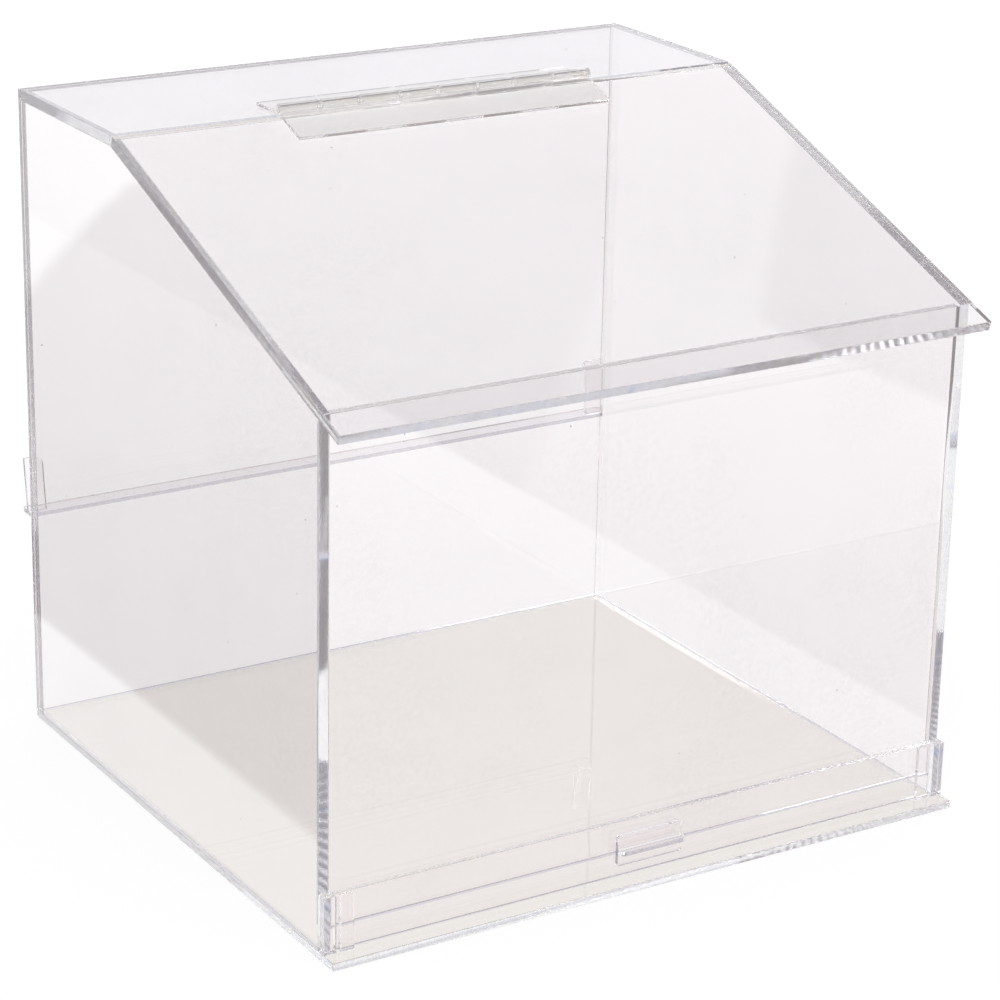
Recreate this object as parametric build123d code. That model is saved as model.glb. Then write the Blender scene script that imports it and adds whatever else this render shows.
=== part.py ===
from build123d import *

import os
from math import atan2, cos, degrees, radians, sin, tan

# A countertop bread display bin of clear acrylic sheet: a cabinet with a sloped lid hinged to
# its top, a low gate that lifts off the crumb slot at the front, and a card holder on its back.
#
# Millimetres. +Z is up, -Y is the front and +X is the right hand of someone who faces the front.
# The origin is the middle of the base plate's underside, on the counter.

# Cabinet
width = 305.0            # over the side walls
cabinet_depth = 268.5    # front edge of a side wall to its rear edge
height = 291.5           # counter to the top panel's upper face
front_height = 222.6     # counter to the lowest point of a side wall's sloped edge
top_depth = 92.0         # top panel, front to back
sheet = 4.5              # walls, top panel and lid
base_sheet = 3.6         # base plate
base_lip = 12.0          # base plate ahead of the side walls

# Fixed front panel, over the slot that crumbs are swept out through
slot_height = 9.2        # base plate to the front panel's lower edge
front_panel_drop = 0.3   # front panel's upper edge below the lid

# Lid
lid_length = 203.2       # along the slope
lid_gap = 0.3            # lid to top panel

# Lid hinge: two leaves with alternating knuckles on one pin
hinge_length = 152.4
knuckle_count = 8
knuckle_gap = 1.2        # between neighbouring knuckles
knuckle_radius = 2.4
knuckle_lift = 0.1       # knuckle above the sheet it passes over
knuckle_clearance = 0.5  # around a knuckle, to the other leaf
pin_radius = 1.2
pin_fit = 0.05           # radial clearance of a lid knuckle on the pin
leaf_width = 20.0        # pin axis to the leaf's free edge
leaf_sheet = 1.4
root_width = 5.5         # pin axis to the end of a leaf's thicker root
root_sheet = 1.9

# Corner posts on the base lip, ahead of the side walls' front edges
post_width = 5.5
post_depth = 5.0

# Gate: a strip that stands on the base lip in front of the slot and lifts straight up
gate_height = 24.8       # and the height of the posts and guides
gate_sheet = 2.7
gate_end_gap = 0.3       # gate to a post
gate_face_gap = 0.2      # gate to the side walls behind it and to the guides before it
guide_width = 6.2
guide_post_gap = 1.8     # guide to the post beside it

# Gate handle
handle_width = 31.5
handle_height = 13.4
handle_sheet = 1.8
handle_rise = 5.6        # base plate to the handle plate's lower edge
handle_corner = 1.2
grip_reach = 3.6
grip_sheet = 1.9
grip_corner = 2.4

# Card holder on the back
ledge_reach = 9.7
ledge_sheet = 2.0
ledge_top = 99.0         # counter to the ledge's upper face
ledge_corner = 2.5
tab_width = 11.0
tab_height = 24.0
tab_sheet = 1.9
tab_slot = 2.0           # back panel to a tab, at the ledge
tab_lean = 7.0           # degrees, away from the back panel
tab_corner = 2.5

# Places that follow from the dimensions
half_width = width / 2
inner_half = half_width - sheet
base_depth = cabinet_depth + base_lip
base_front = -base_depth / 2
wall_front = base_front + base_lip
wall_rear = wall_front + cabinet_depth
wall_top = height - sheet
top_front = wall_rear - top_depth

slope = atan2(wall_top - front_height, top_front - wall_front)
lid_end_y = top_front - lid_gap
lid_end_z = front_height + (lid_end_y - wall_front) * tan(slope)

pin_height = knuckle_radius + knuckle_lift
pin_z = height + pin_height
pin_y = lid_end_y + ((pin_z - lid_end_z) * cos(slope) - sheet - pin_height) / sin(slope)

post_face = wall_front - post_depth
post_inner = half_width - post_width
gate_rear = wall_front - gate_face_gap
gate_face = gate_rear - gate_sheet
gate_half = post_inner - gate_end_gap
guide_outer = post_inner - guide_post_gap
guide_inner = guide_outer - guide_width
gate_top = base_sheet + gate_height



def block(x, y, z):
    """A box from three pairs of limits."""
    size = [high - low for low, high in (x, y, z)]
    return Pos(x[0], y[0], z[0]) * Box(*size, align=(Align.MIN, Align.MIN, Align.MIN))


def side_wall(inner_x, outer_x):
    """A wall whose upper front corner is cut to the lid's slope."""
    outline = Polyline(
        (wall_front, base_sheet),
        (wall_rear, base_sheet),
        (wall_rear, wall_top),
        (top_front, wall_top),
        (wall_front, front_height),
        close=True,
    )
    face = Plane.YZ.offset(min(inner_x, outer_x)) * make_face(outline)
    return extrude(face, amount=abs(outer_x - inner_x), dir=(1, 0, 0))


def base_plate():
    return block((-half_width, half_width), (base_front, wall_rear), (0, base_sheet))


def back_panel():
    return block((-inner_half, inner_half), (wall_rear - sheet, wall_rear), (base_sheet, wall_top))


def front_panel():
    z = (base_sheet + slot_height, front_height - front_panel_drop)
    return block((-inner_half, inner_half), (wall_front, wall_front + sheet), z)


def top_panel():
    return block((-half_width, half_width), (top_front, wall_rear), (wall_top, height))


def lid_panel():
    """The lid lies on the slope, its upper end square to its faces."""
    flat = block((-half_width, half_width), (-lid_length, 0), (0, sheet))
    return Pos(0, lid_end_y, lid_end_z) * Rot(degrees(slope), 0, 0) * flat


def knuckle_limits(index):
    """The two ends of a knuckle along the pin; the outermost ends are flush with the leaves."""
    pitch = hinge_length / knuckle_count
    low = -hinge_length / 2 + index * pitch
    high = low + pitch
    if index > 0:
        low += knuckle_gap / 2
    if index < knuckle_count - 1:
        high -= knuckle_gap / 2
    return low, high


def hinge_leaf(first_knuckle, bore_radius):
    """A leaf that lies along +Y from the pin axis, with every second knuckle of the hinge."""
    half = hinge_length / 2
    start = knuckle_radius + knuckle_clearance
    leaf = block((-half, half), (start, leaf_width), (-pin_height, leaf_sheet - pin_height))
    leaf += block((-half, half), (start, root_width), (-pin_height, root_sheet - pin_height))
    for index in range(first_knuckle, knuckle_count, 2):
        low, high = knuckle_limits(index)
        barrel = Rot(0, 90, 0) * Cylinder(knuckle_radius, high - low)
        leaf += Pos((low + high) / 2, 0, 0) * barrel
        leaf += block((low, high), (0, start), (-pin_height, root_sheet - pin_height))
    return leaf - Rot(0, 90, 0) * Cylinder(bore_radius, 2 * hinge_length)


def hinge_top_leaf():
    return Pos(0, pin_y, pin_z) * hinge_leaf(1, pin_radius)


def hinge_lid_leaf():
    """The same leaf turned to the lid's side of the pin and tilted to the slope."""
    turned = mirror(hinge_leaf(0, pin_radius + pin_fit), about=Plane.XZ)
    return Pos(0, pin_y, pin_z) * Rot(degrees(slope), 0, 0) * turned


def hinge_pin():
    return Pos(0, pin_y, pin_z) * Rot(0, 90, 0) * Cylinder(pin_radius, hinge_length)


def corner_post(x):
    """A post on the base lip, against a side wall's front edge."""
    return block(x, (post_face, wall_front), (base_sheet, gate_top))


def gate_guide(x):
    """A thin block on the base lip that keeps one end of the gate from tipping forward."""
    return block(x, (post_face, gate_face - gate_face_gap), (base_sheet, gate_top))


def gate_panel():
    return block((-gate_half, gate_half), (gate_face, gate_rear), (base_sheet, gate_top))


def gate_handle_plate():
    """A small plate with rounded corners on the gate's face."""
    z = (base_sheet + handle_rise, base_sheet + handle_rise + handle_height)
    half = handle_width / 2
    plate = block((-half, half), (gate_face - handle_sheet, gate_face), z)
    return fillet(plate.edges().filter_by(Axis.Y), handle_corner)


def gate_handle_grip():
    """A ledge across the middle of the handle plate, for the fingertips."""
    middle = base_sheet + handle_rise + handle_height / 2
    rear = gate_face - handle_sheet
    half = handle_width / 2
    z = (middle - grip_sheet / 2, middle + grip_sheet / 2)
    grip = block((-half, half), (rear - grip_reach, rear), z)
    front_corners = grip.edges().filter_by(Axis.Z).group_by(Axis.Y)[0]
    return fillet(front_corners, grip_corner)


def rear_ledge():
    z = (ledge_top - ledge_sheet, ledge_top)
    ledge = block((-half_width, half_width), (wall_rear, wall_rear + ledge_reach), z)
    rear_corners = ledge.edges().filter_by(Axis.Z).group_by(Axis.Y)[-1]
    return fillet(rear_corners, ledge_corner)


def rear_tab():
    """The left-hand tab: a leaning plate cut level at its foot, with a rounded inner corner."""
    foot = tab_sheet * sin(radians(tab_lean))
    plate = block((0, tab_width), (0, tab_sheet), (-foot, tab_height))
    inner_corner = plate.edges().filter_by(Axis.Y).group_by(Axis.Z)[-1].sort_by(Axis.X)[-1]
    plate = Rot(-tab_lean, 0, 0) * fillet(inner_corner, tab_corner)
    reach = tab_sheet + tab_height
    plate -= block((-reach, reach), (-reach, reach), (-reach, 0))
    return Pos(-half_width, wall_rear + tab_slot, ledge_top) * plate


nodes = {
    "base_plate": base_plate(),
    "left_side_wall": side_wall(-inner_half, -half_width),
    "right_side_wall": side_wall(inner_half, half_width),
    "back_panel": back_panel(),
    "front_panel": front_panel(),
    "top_panel": top_panel(),
    "hinge_top_leaf": hinge_top_leaf(),
    "hinge_pin": hinge_pin(),
    "left_corner_post": corner_post((-half_width, -post_inner)),
    "right_corner_post": corner_post((post_inner, half_width)),
    "left_gate_guide": gate_guide((-guide_outer, -guide_inner)),
    "right_gate_guide": gate_guide((guide_inner, guide_outer)),
    "card_ledge": rear_ledge(),
    "left_card_tab": rear_tab(),
    "right_card_tab": mirror(rear_tab(), about=Plane.YZ),
    "lid_panel": lid_panel(),
    "hinge_lid_leaf": hinge_lid_leaf(),
    "gate_panel": gate_panel(),
    "gate_handle_plate": gate_handle_plate(),
    "gate_handle_grip": gate_handle_grip(),
}

os.makedirs("parts", exist_ok=True)
for name, solid in nodes.items():
    export_step(solid, f"parts/{name}.step")
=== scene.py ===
"""The looks of a clear acrylic countertop bread display bin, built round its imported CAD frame."""

from math import radians

import bpy
from mathutils import Matrix, Vector

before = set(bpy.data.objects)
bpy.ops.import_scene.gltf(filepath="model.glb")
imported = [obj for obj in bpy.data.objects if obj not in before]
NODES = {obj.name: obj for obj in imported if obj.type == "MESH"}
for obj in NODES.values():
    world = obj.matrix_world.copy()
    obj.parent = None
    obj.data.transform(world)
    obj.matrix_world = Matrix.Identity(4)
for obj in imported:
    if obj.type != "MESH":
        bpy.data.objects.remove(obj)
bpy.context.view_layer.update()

MM = 0.001

# Camera, chosen from fits to the bin's corners in the photograph; it has no lens shift
CAMERA_PLACE = (-0.7020, -1.1409, 0.6131)
CAMERA_YAW = radians(31.84)    # to the right of straight at the front
CAMERA_PITCH = radians(20.07)  # downwards
CAMERA_ROLL = radians(1.2)
CAMERA_LENS = 118.8            # mm, on a 36 mm wide sensor
SENSOR_WIDTH = 36.0

# Sheet
SHEET_IOR = 1.49
ARRIS = 0.3 * MM               # flat that polishing leaves along an edge of a sheet
SMALL_ARRIS = 0.15 * MM
JOINT_GAP = 0.03 * MM          # each face of a glued joint drawn back by this
SAME_POINT = 0.001 * MM
ARRIS_ANGLE = radians(40)      # edges sharper than this get an arris
CREASE_ANGLE = radians(25)     # and those sharper than this shade as a crease
LID_SLOPE = radians(20.05)
TAB_LEAN = radians(7.0)

# Colours of the sheet. Noise scales are per metre.
SHEET_TINT = (0.981, 0.967, 0.973)
# Painted shade: the base plate is tinted darker and warmer than the other sheets, standing in for shade
# and warm bounced light on the bin's floor
BASE_PAINTED_SHADE = (0.945, 0.912, 0.868)
SHADOW_TINT = (0.975, 0.97, 0.975, 1.0)  # what the lamps' light keeps on its way through a face
DUST = (0.16, 0.14, 0.13)
FILM = 0.965                   # what a hazy patch leaves of the tint
SAW_GREY = (0.45, 0.46, 0.50)  # fine flecks in the sawn and polished edges
FLECK_SCALE = 1100.0
# Painted glints: pale rainbow colours, mostly white, in the edges' colour, standing in for light that
# the polished edges split into colours
EDGE_GLINT_SCALE = 100.0
EDGE_GLINT_COLOURS = [
    (0.28, (0.48, 0.60, 0.96)),
    (0.36, (0.88, 0.90, 0.99)),
    (0.42, (1.0, 1.0, 1.0)),
    (0.49, (0.92, 0.91, 0.94)),
    (0.55, (1.0, 1.0, 1.0)),
    (0.61, (0.94, 0.93, 0.92)),
    (0.67, (0.99, 0.92, 0.76)),
    (0.74, (0.92, 0.70, 0.54)),
]

# Heights of the surface's unevenness, in metres
RIPPLE = 0.00005               # slow, over a face
CHATTER = 0.000015             # across an edge, from the saw
GRAIN = 0.00001                # fine, over an edge
MOULDED_RIPPLE = 0.00001

# The studio, as the sheet mirrors it: a white board under the bin, and a white sweep behind it
BOARD_HALF = 0.200             # the board's edges lie this far to the left and right
BOARD_BLUR = 0.004
SWEEP_SLANT = 1.25             # near left corner cut along y + SWEEP_SLANT x = SWEEP_CORNER
SWEEP_CORNER = 0.228
SWEEP_BACK = 0.975             # and further left its edge is level, at this y
SWEEP_BLUR = 0.02
SWEEP = (0.78, 0.78, 0.82)
STUDIO_FLOOR = (0.32, 0.30, 0.30)
PIPED_FLOOR = (0.33, 0.31, 0.32)  # the same, for light that a sheet carries along inside itself

# The floor
FLOOR_RADIUS = 9.0
PAPER = 0.40                   # colour of the paper that the lamps light
PAPER_GLOW = 0.77              # its own light near the bin, up to white with the lamps'
GLOW_NEAR, GLOW_FAR = 0.25, 1.5   # over this distance from the bin it rises to 1
WHITE = (1.0, 1.0, 1.0)

LAMP_TARGET = (0, 0, 0.12)     # the lamps point at the middle of the bin

# Light crosses a sheet many times on its way to an edge, and a low limit turns the edges black
SHEET_BOUNCES = 256
SHADOW_BOUNCES = 48


class Tree:
    """Adds and joins the nodes of one shader tree."""

    def __init__(self, tree):
        self.tree = tree
        tree.nodes.clear()

    def join(self, node, name, value):
        """Sets an input to a number or colour, or joins it to an output."""
        if isinstance(value, bpy.types.NodeSocket):
            self.tree.links.new(value, node.inputs[name])
        else:
            node.inputs[name].default_value = value

    def add(self, kind, values=None, **settings):
        """A new node: settings are its properties, values its inputs."""
        node = self.tree.nodes.new(kind)
        for name, value in settings.items():
            setattr(node, name, value)
        for name, value in (values or {}).items():
            self.join(node, name, value)
        return node

    def maths(self, operation, a, b=0.0):
        return self.add("ShaderNodeMath", {0: a, 1: b}, operation=operation).outputs[0]

    def vector(self, operation, a, b):
        node = self.add("ShaderNodeVectorMath", {0: a, 1: b}, operation=operation)
        return node.outputs["Value" if operation == "DOT_PRODUCT" else "Vector"]

    def scaled(self, vector, factor):
        node = self.add("ShaderNodeVectorMath", {0: vector, "Scale": factor}, operation="SCALE")
        return node.outputs["Vector"]

    def noise(self, vector, scale, detail=2.0, roughness=0.5):
        values = {"Vector": vector, "Scale": scale, "Detail": detail, "Roughness": roughness}
        return self.add("ShaderNodeTexNoise", values).outputs["Fac"]

    def span(self, value, low, high, to_low=0.0, to_high=1.0):
        """Maps low..high to to_low..to_high, held at both ends."""
        values = {
            "Value": value, "From Min": low, "From Max": high, "To Min": to_low, "To Max": to_high,
        }
        return self.add("ShaderNodeMapRange", values).outputs["Result"]

    def mix(self, factor, a, b):
        """A number between a at 0 and b at 1."""
        return self.add("ShaderNodeMix", {0: factor, 2: a, 3: b}, data_type="FLOAT").outputs[0]

    def blend(self, factor, a, b):
        """A colour between a at 0 and b at 1."""
        a, b = ((*value, 1.0) if isinstance(value, tuple) else value for value in (a, b))
        return self.add("ShaderNodeMix", {0: factor, 6: a, 7: b}, data_type="RGBA").outputs[2]

    def ramp(self, factor, stops):
        """A colour ramp from (place, colour) stops."""
        node = self.add("ShaderNodeValToRGB", {"Fac": factor})
        elements = node.color_ramp.elements
        while len(elements) < len(stops):
            elements.new(0.5)
        for element, (place, colour) in zip(elements, stops):
            element.position = place
            element.color = (*colour, 1.0)
        return node.outputs["Color"]

    def bump(self, height):
        """A normal from a height in metres."""
        values = {"Height": height, "Strength": 1.0, "Distance": 1.0}
        return self.add("ShaderNodeBump", values).outputs["Normal"]

    def clear(self, colour, roughness, normal):
        """Ends the tree in clear plastic that lets the lamps' light through to the floor."""
        glass = self.add("ShaderNodeBsdfPrincipled", {
            "Base Color": colour,
            "Roughness": roughness,
            "IOR": SHEET_IOR,
            "Transmission Weight": 1.0,
            "Normal": normal,
        })
        open_way = self.add("ShaderNodeBsdfTransparent", {"Color": SHADOW_TINT})
        path = self.add("ShaderNodeLightPath")
        mixed = self.add("ShaderNodeMixShader", {
            0: path.outputs["Is Shadow Ray"],
            1: glass.outputs["BSDF"],
            2: open_way.outputs["BSDF"],
        })
        self.add("ShaderNodeOutputMaterial", {"Surface": mixed.outputs["Shader"]})


def new_material(name):
    material = bpy.data.materials.new(name)
    material.use_nodes = True
    return material, Tree(material.node_tree)


def dusty(tree, position, tint):
    """The colour of a clean face, with a few specks of dust and a faint film in patches."""
    speck = tree.add("ShaderNodeTexVoronoi", {"Vector": position, "Scale": 55.0})
    tiny = tree.maths("LESS_THAN", speck.outputs["Distance"], 0.020)
    few = tree.maths("GREATER_THAN", tree.noise(position, 31.0), 0.55)
    dust = tree.maths("MULTIPLY", tiny, few)
    patch = tree.span(tree.noise(position, 11.0, 3.0, 0.6), 0.48, 0.62)
    grains = tree.span(tree.noise(position, 520.0, 2.0, 0.7), 0.42, 0.62)
    film = tree.maths("MULTIPLY", patch, grains)
    filmed = tree.blend(film, tint, tuple(value * FILM for value in tint))
    return tree.blend(dust, filmed, DUST)


def acrylic(name, axis, tint=SHEET_TINT):
    """Clear sheet whose thickness runs along axis.

    Its faces are gently rippled, with dust and faint smears. Its sawn and polished edges are finely
    grained, with painted glints of pale rainbow colour here and there.
    """
    material, tree = new_material(name)
    place = tree.add("ShaderNodeTexCoord")
    position, normal = place.outputs["Object"], place.outputs["Normal"]
    square = tree.maths("ABSOLUTE", tree.vector("DOT_PRODUCT", normal, axis))
    edge = tree.maths("LESS_THAN", square, 0.5)

    # Position without its part through the sheet, so that an edge's marks run straight across it
    depth = tree.vector("DOT_PRODUCT", position, axis)
    along = tree.vector("SUBTRACT", position, tree.scaled(axis, depth))

    # Painted glints of pale colour along the edges, with real grey saw flecks blended in
    edge_glints_and_flecks = tree.ramp(tree.noise(along, EDGE_GLINT_SCALE, 4.0, 0.75), EDGE_GLINT_COLOURS)
    fleck = tree.span(tree.noise(position, FLECK_SCALE, 2.0, 0.6), 0.50, 0.62, 0.0, 0.4)
    edge_glints_and_flecks = tree.blend(fleck, edge_glints_and_flecks, SAW_GREY)
    colour = tree.blend(edge, dusty(tree, position, tint), edge_glints_and_flecks)

    smear = tree.span(tree.noise(position, 9.0, 4.0, 0.6), 0.52, 0.75, 0.0, 0.02)
    polish = tree.span(tree.noise(along, 260.0, 2.0), 0.35, 0.7, 0.02, 0.06)
    roughness = tree.mix(edge, smear, polish)

    ripple = tree.maths("MULTIPLY", tree.noise(position, 14.0, 1.0), RIPPLE)
    chatter = tree.maths("MULTIPLY", tree.noise(along, 160.0, 1.0), CHATTER)
    grain = tree.maths("MULTIPLY", tree.noise(position, 1500.0, 2.0, 0.6), GRAIN)
    height = tree.mix(edge, ripple, tree.maths("ADD", chatter, grain))
    tree.clear(colour, roughness, tree.bump(height))
    return material


def moulded(name):
    """Clear moulding, smooth all over, faintly yellow in patches and with a slow ripple."""
    material, tree = new_material(name)
    position = tree.add("ShaderNodeTexCoord").outputs["Object"]
    cloud = tree.noise(position, 60.0, 2.0)
    colour = tree.blend(tree.span(cloud, 0.35, 0.65), (1.0, 1.0, 0.985), (0.995, 0.990, 0.970))
    roughness = tree.span(cloud, 0.4, 0.7, 0.01, 0.04)
    height = tree.maths("MULTIPLY", tree.noise(position, 120.0, 1.0), MOULDED_RIPPLE)
    tree.clear(colour, roughness, tree.bump(height))
    return material


def dress(node, material, arris):
    """Gives a CAD node its material, and draws its faces back and its edges off a little."""
    piece = NODES[node]
    piece.data.materials.clear()
    piece.data.materials.append(material)
    weld = piece.modifiers.new("weld", "WELD")
    weld.merge_threshold = SAME_POINT
    inset = piece.modifiers.new("joint gap", "DISPLACE")
    inset.strength = -JOINT_GAP
    inset.mid_level = 0.0
    bevel = piece.modifiers.new("arris", "BEVEL")
    bevel.width = arris
    bevel.segments = 2
    bevel.limit_method = "ANGLE"
    bevel.angle_limit = ARRIS_ANGLE
    crease = piece.modifiers.new("crease", "EDGE_SPLIT")
    crease.split_angle = CREASE_ANGLE
    piece.modifiers.new("shading", "WEIGHTED_NORMAL")


def camera():
    data = bpy.data.cameras.new("camera")
    data.lens = CAMERA_LENS
    data.sensor_width = SENSOR_WIDTH
    data.clip_end = 100.0
    viewer = bpy.data.objects.new("camera", data)
    bpy.context.scene.collection.objects.link(viewer)
    yaw = Matrix.Rotation(-CAMERA_YAW, 4, "Z")
    pitch = Matrix.Rotation(radians(90) - CAMERA_PITCH, 4, "X")
    roll = Matrix.Rotation(CAMERA_ROLL, 4, "Z")
    viewer.matrix_world = Matrix.Translation(CAMERA_PLACE) @ (yaw @ pitch) @ roll
    bpy.context.scene.camera = viewer


def mirrored_path(tree, path):
    """1 on a ray that some face has mirrored on its way from the camera."""
    return tree.maths("GREATER_THAN", path.outputs["Glossy Depth"], 0.5)


def piped_path(tree, path):
    """1 on a ray mirrored more than once, as inside a sheet on the way to its edge."""
    return tree.maths("GREATER_THAN", path.outputs["Glossy Depth"], 1.5)


def floor():
    """White paper, on which the bin's shadow falls.

    The sheet mirrors it as a white board on a dark floor.
    """
    bpy.ops.mesh.primitive_circle_add(
        vertices=96, radius=FLOOR_RADIUS, fill_type="NGON", location=(0, 0, 0))
    ground = bpy.context.object
    ground.name = "floor"
    material, tree = new_material("white_floor")
    position = tree.add("ShaderNodeTexCoord").outputs["Object"]
    parts = tree.add("ShaderNodeSeparateXYZ", {0: position})
    x, y = parts.outputs["X"], parts.outputs["Y"]
    board = tree.span(tree.maths("ABSOLUTE", x), BOARD_HALF, BOARD_HALF + BOARD_BLUR, 1.0, 0.0)
    path = tree.add("ShaderNodeLightPath")
    piped = piped_path(tree, path)
    slant = tree.maths("ADD", y, tree.maths("MULTIPLY", x, SWEEP_SLANT))
    corner = tree.span(slant, SWEEP_CORNER, SWEEP_CORNER + SWEEP_BLUR)
    level_edge = tree.span(y, SWEEP_BACK, SWEEP_BACK + SWEEP_BLUR)
    sweep = tree.maths("MAXIMUM", corner, level_edge)
    bare = tree.blend(piped, STUDIO_FLOOR, PIPED_FLOOR)
    studio_colour = tree.blend(tree.maths("MAXIMUM", board, sweep), bare, WHITE)
    paper = tree.add("ShaderNodeBsdfDiffuse", {"Color": (PAPER, PAPER, PAPER, 1.0)})
    away = tree.add("ShaderNodeVectorMath", {0: position}, operation="LENGTH").outputs["Value"]
    strength = tree.span(away, GLOW_NEAR, GLOW_FAR, PAPER_GLOW, 1.0)
    glow = tree.add("ShaderNodeEmission", {"Strength": strength})
    lit = tree.add("ShaderNodeAddShader", {0: paper.outputs[0], 1: glow.outputs[0]})
    studio_floor = tree.add("ShaderNodeEmission", {"Color": studio_colour})
    mixed = tree.add("ShaderNodeMixShader", {
        0: mirrored_path(tree, path), 1: lit.outputs[0], 2: studio_floor.outputs[0],
    })
    tree.add("ShaderNodeOutputMaterial", {"Surface": mixed.outputs[0]})
    ground.data.materials.append(material)


def studio():
    """White all round for the camera and through the sheet; mirrored, a dark room with a white sweep."""
    world = bpy.data.worlds.new("studio")
    bpy.context.scene.world = world
    world.use_nodes = True
    tree = Tree(world.node_tree)
    direction = tree.add("ShaderNodeTexCoord").outputs["Generated"]
    parts = tree.add("ShaderNodeSeparateXYZ", {0: direction})
    x, y, z = (parts.outputs[name] for name in "XYZ")
    through = tree.ramp(z, [
        (0.45, WHITE),
        (0.65, (0.76, 0.75, 0.80)),
        (0.85, (0.56, 0.53, 0.55)),
    ])
    room = tree.ramp(z, [
        (0.0, (0.44, 0.42, 0.43)),
        (0.40, (0.26, 0.25, 0.28)),
        (0.80, (0.13, 0.12, 0.14)),
    ])
    piped_room = tree.ramp(z, [
        (0.0, (0.42, 0.40, 0.43)),
        (0.40, (0.38, 0.36, 0.39)),
        (0.80, (0.36, 0.33, 0.34)),
    ])
    behind = tree.span(y, 0.25, 0.40)
    # The sweep fills the room behind the bin, but for its left and its upper part
    leftness = tree.maths("ADD", x, tree.maths("MULTIPLY", y, 0.35))
    not_left = tree.span(leftness, -0.05, 0.05)
    rise = tree.maths("SUBTRACT", z, tree.maths("MULTIPLY", y, 0.7))
    not_high = tree.span(rise, -0.05, 0.08, 1.0, 0.0)
    sweep = tree.maths("MULTIPLY", behind, tree.maths("MULTIPLY", not_left, not_high))
    path = tree.add("ShaderNodeLightPath")
    room = tree.blend(sweep, tree.blend(piped_path(tree, path), room, piped_room), SWEEP)
    straight = tree.maths("MULTIPLY", path.outputs["Is Transmission Ray"],
                          tree.maths("SUBTRACT", 1.0, mirrored_path(tree, path)))
    colour = tree.blend(straight, room, through)
    colour = tree.blend(path.outputs["Is Camera Ray"], colour, WHITE)
    back = tree.add("ShaderNodeBackground", {"Color": colour, "Strength": 1.0})
    tree.add("ShaderNodeOutputWorld", {"Surface": back.outputs[0]})


def softbox(name, place, size, power):
    data = bpy.data.lights.new(name, "AREA")
    data.shape = "RECTANGLE"
    data.size, data.size_y = size
    data.energy = power
    lamp = bpy.data.objects.new(name, data)
    bpy.context.scene.collection.objects.link(lamp)
    lamp.location = place
    aim = Vector(LAMP_TARGET) - Vector(place)
    lamp.rotation_euler = aim.to_track_quat("-Z", "Y").to_euler()


AXIS_X, AXIS_Y, AXIS_Z = (1.0, 0.0, 0.0), (0.0, 1.0, 0.0), (0.0, 0.0, 1.0)
LID_AXIS = Matrix.Rotation(LID_SLOPE, 3, "X") @ Vector(AXIS_Z)
TAB_AXIS = Matrix.Rotation(-TAB_LEAN, 3, "X") @ Vector(AXIS_Y)

upright_side = acrylic("acrylic_side", AXIS_X)
upright_front = acrylic("acrylic_front", AXIS_Y)
level = acrylic("acrylic_level", AXIS_Z)
# The base plate's material carries painted shade in its tint
shaded_foot = acrylic("acrylic_base_painted_shade", AXIS_Z, tint=BASE_PAINTED_SHADE)
sloped = acrylic("acrylic_lid", tuple(LID_AXIS))
leaning = acrylic("acrylic_tab", tuple(TAB_AXIS))
hinge = moulded("clear_hinge")

SHEETS = {
    "base_plate": shaded_foot,
    "top_panel": level, "card_ledge": level, "gate_handle_grip": level,
    "left_side_wall": upright_side, "right_side_wall": upright_side,
    "left_corner_post": upright_front, "right_corner_post": upright_front,
    "left_gate_guide": upright_front, "right_gate_guide": upright_front,
    "back_panel": upright_front, "front_panel": upright_front,
    "gate_panel": upright_front, "gate_handle_plate": upright_front,
    "left_card_tab": leaning, "right_card_tab": leaning,
    "lid_panel": sloped,
}
for node, material in SHEETS.items():
    dress(node, material, ARRIS)
for node in ("hinge_top_leaf", "hinge_pin", "hinge_lid_leaf"):
    dress(node, hinge, SMALL_ARRIS)

camera()
floor()
studio()
softbox("key", (-1.6, -1.4, 2.2), (1.2, 1.2), 40.0)
softbox("fill", (2.0, -0.6, 1.6), (0.8, 1.4), 16.0)

scene = bpy.context.scene
scene.view_settings.view_transform = "Standard"
scene.cycles.max_bounces = SHEET_BOUNCES
scene.cycles.transmission_bounces = SHEET_BOUNCES
scene.cycles.glossy_bounces = SHEET_BOUNCES
scene.cycles.transparent_max_bounces = SHADOW_BOUNCES
scene.cycles.caustics_reflective = False
scene.cycles.caustics_refractive = False
scene.cycles.blur_glossy = 0.0
